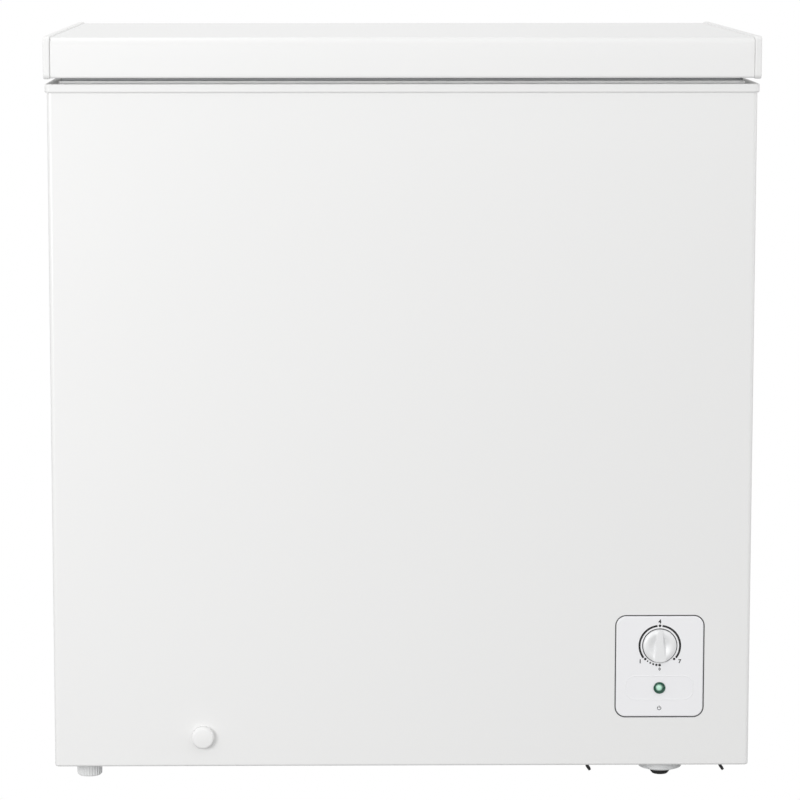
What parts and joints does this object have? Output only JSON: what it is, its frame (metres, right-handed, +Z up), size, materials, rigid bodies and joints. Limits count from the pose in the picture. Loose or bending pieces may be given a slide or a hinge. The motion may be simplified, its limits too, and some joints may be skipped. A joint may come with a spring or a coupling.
{
  "type": "chest freezer",
  "caption": "White free-standing chest freezer with a rear-hinged lid, front dial and lamp panel, front drain, stepped tub, compressor compartment and hanging basket.",
  "frame": {"origin": "floor level, at the middle of the freezer's closed box", "axes": "+Z up, +X to the right as seen from the front, -Y to the front where the dial is"},
  "size_m": [0.798, 0.5716, 0.85],
  "materials": {
    "white_enamel": "satin",
    "white_plastic": "satin",
    "panel_plastic": "satin",
    "knob_plastic": "satin",
    "grey_plastic": "matte",
    "dark_plastic": "satin",
    "liner": "satin",
    "inner_panel_plastic": "satin",
    "foam": "matte",
    "galvanised": "satin",
    "black_enamel": "satin",
    "copper": "satin",
    "steel": "satin",
    "rubber": "matte",
    "seal": "matte",
    "green_lens": "gloss",
    "coated_wire": "satin"
  },
  "bodies": {
    "cabinet": {"cabinet_wrap": "white_enamel", "back_panel": "galvanised", "bottom_pan": "galvanised", "machine_bulkhead": "galvanised", "cabinet_foam": "foam", "inner_liner": "liner", "rim_trim": "white_plastic", "evaporator_coil": "copper", "condenser_coil": "copper", "compressor_base": "black_enamel", "compressor_shell": "black_enamel", "relay_cover": "dark_plastic", "suction_pipe": "copper", "discharge_pipe": "copper", "filter_drier": "copper", "rear_cover": "galvanised", "cord_gland": "dark_plastic", "side_vent": "white_plastic", "control_panel": "panel_plastic", "thermostat": "dark_plastic", "thermostat_capillary": "copper", "lamp_lens": "green_lens", "lamp_holder": "dark_plastic", "drain_tube": "white_plastic", "foot_socket_front_left": "dark_plastic", "foot_socket_back_left": "dark_plastic", "foot_cup_front_right": "galvanised", "foot_cup_back_right": "galvanised", "foot_pad_front_right": "rubber", "foot_pad_back_right": "rubber", "compressor_grommet_front_left": "rubber", "compressor_grommet_front_right": "rubber", "compressor_grommet_back_left": "rubber", "compressor_grommet_back_right": "rubber", "hinge_base_left": "steel", "hinge_pin_left": "steel", "hinge_spring_left": "steel", "hinge_base_right": "steel", "hinge_pin_right": "steel", "hinge_spring_right": "steel"},
    "lid": {"lid_skin": "white_enamel", "lid_cap_left": "white_plastic", "lid_cap_right": "white_plastic", "lid_inner_panel": "inner_panel_plastic", "lid_foam": "foam", "lid_seal": "seal", "hinge_leaf_left": "steel", "hinge_leaf_right": "steel"},
    "dial": {"dial_knob": "knob_plastic", "thermostat_shaft": "steel"},
    "drain_cap": {"drain_cap": "white_plastic"},
    "drain_plug": {"drain_plug": "white_plastic"},
    "foot_front": {"foot_front_left": "grey_plastic"},
    "foot_back": {"foot_back_left": "grey_plastic"},
    "basket": {"storage_basket": "coated_wire"}
  },
  "joints": [
    {"name": "lid_hinge", "type": "hinge", "parent": "cabinet", "child": "lid", "pos_m": [0, 0.27975, 0.797], "axis": [-1, 0, 0], "range_deg": [0, 80]},
    {"name": "dial_turn", "type": "hinge", "parent": "cabinet", "child": "dial", "pos_m": [0.2933, -0.27625, 0.1593], "axis": [0, 1, 0], "range_deg": [-180, 133]},
    {"name": "drain_cap_pull", "type": "slide", "parent": "cabinet", "child": "drain_cap", "axis": [0, -1, 0], "range_m": [0, 0.03]},
    {"name": "drain_plug_lift", "type": "slide", "parent": "cabinet", "child": "drain_plug", "axis": [0, 0, 1], "range_m": [0, 0.04]},
    {"name": "foot_front_level", "type": "slide", "parent": "cabinet", "child": "foot_front", "axis": [0, 0, -1], "range_m": [0, 0.01]},
    {"name": "foot_back_level", "type": "slide", "parent": "cabinet", "child": "foot_back", "axis": [0, 0, -1], "range_m": [0, 0.01]},
    {"name": "basket_slide", "type": "slide", "parent": "cabinet", "child": "basket", "axis": [-1, 0, 0], "range_m": [0, 0.41]}
  ]
}
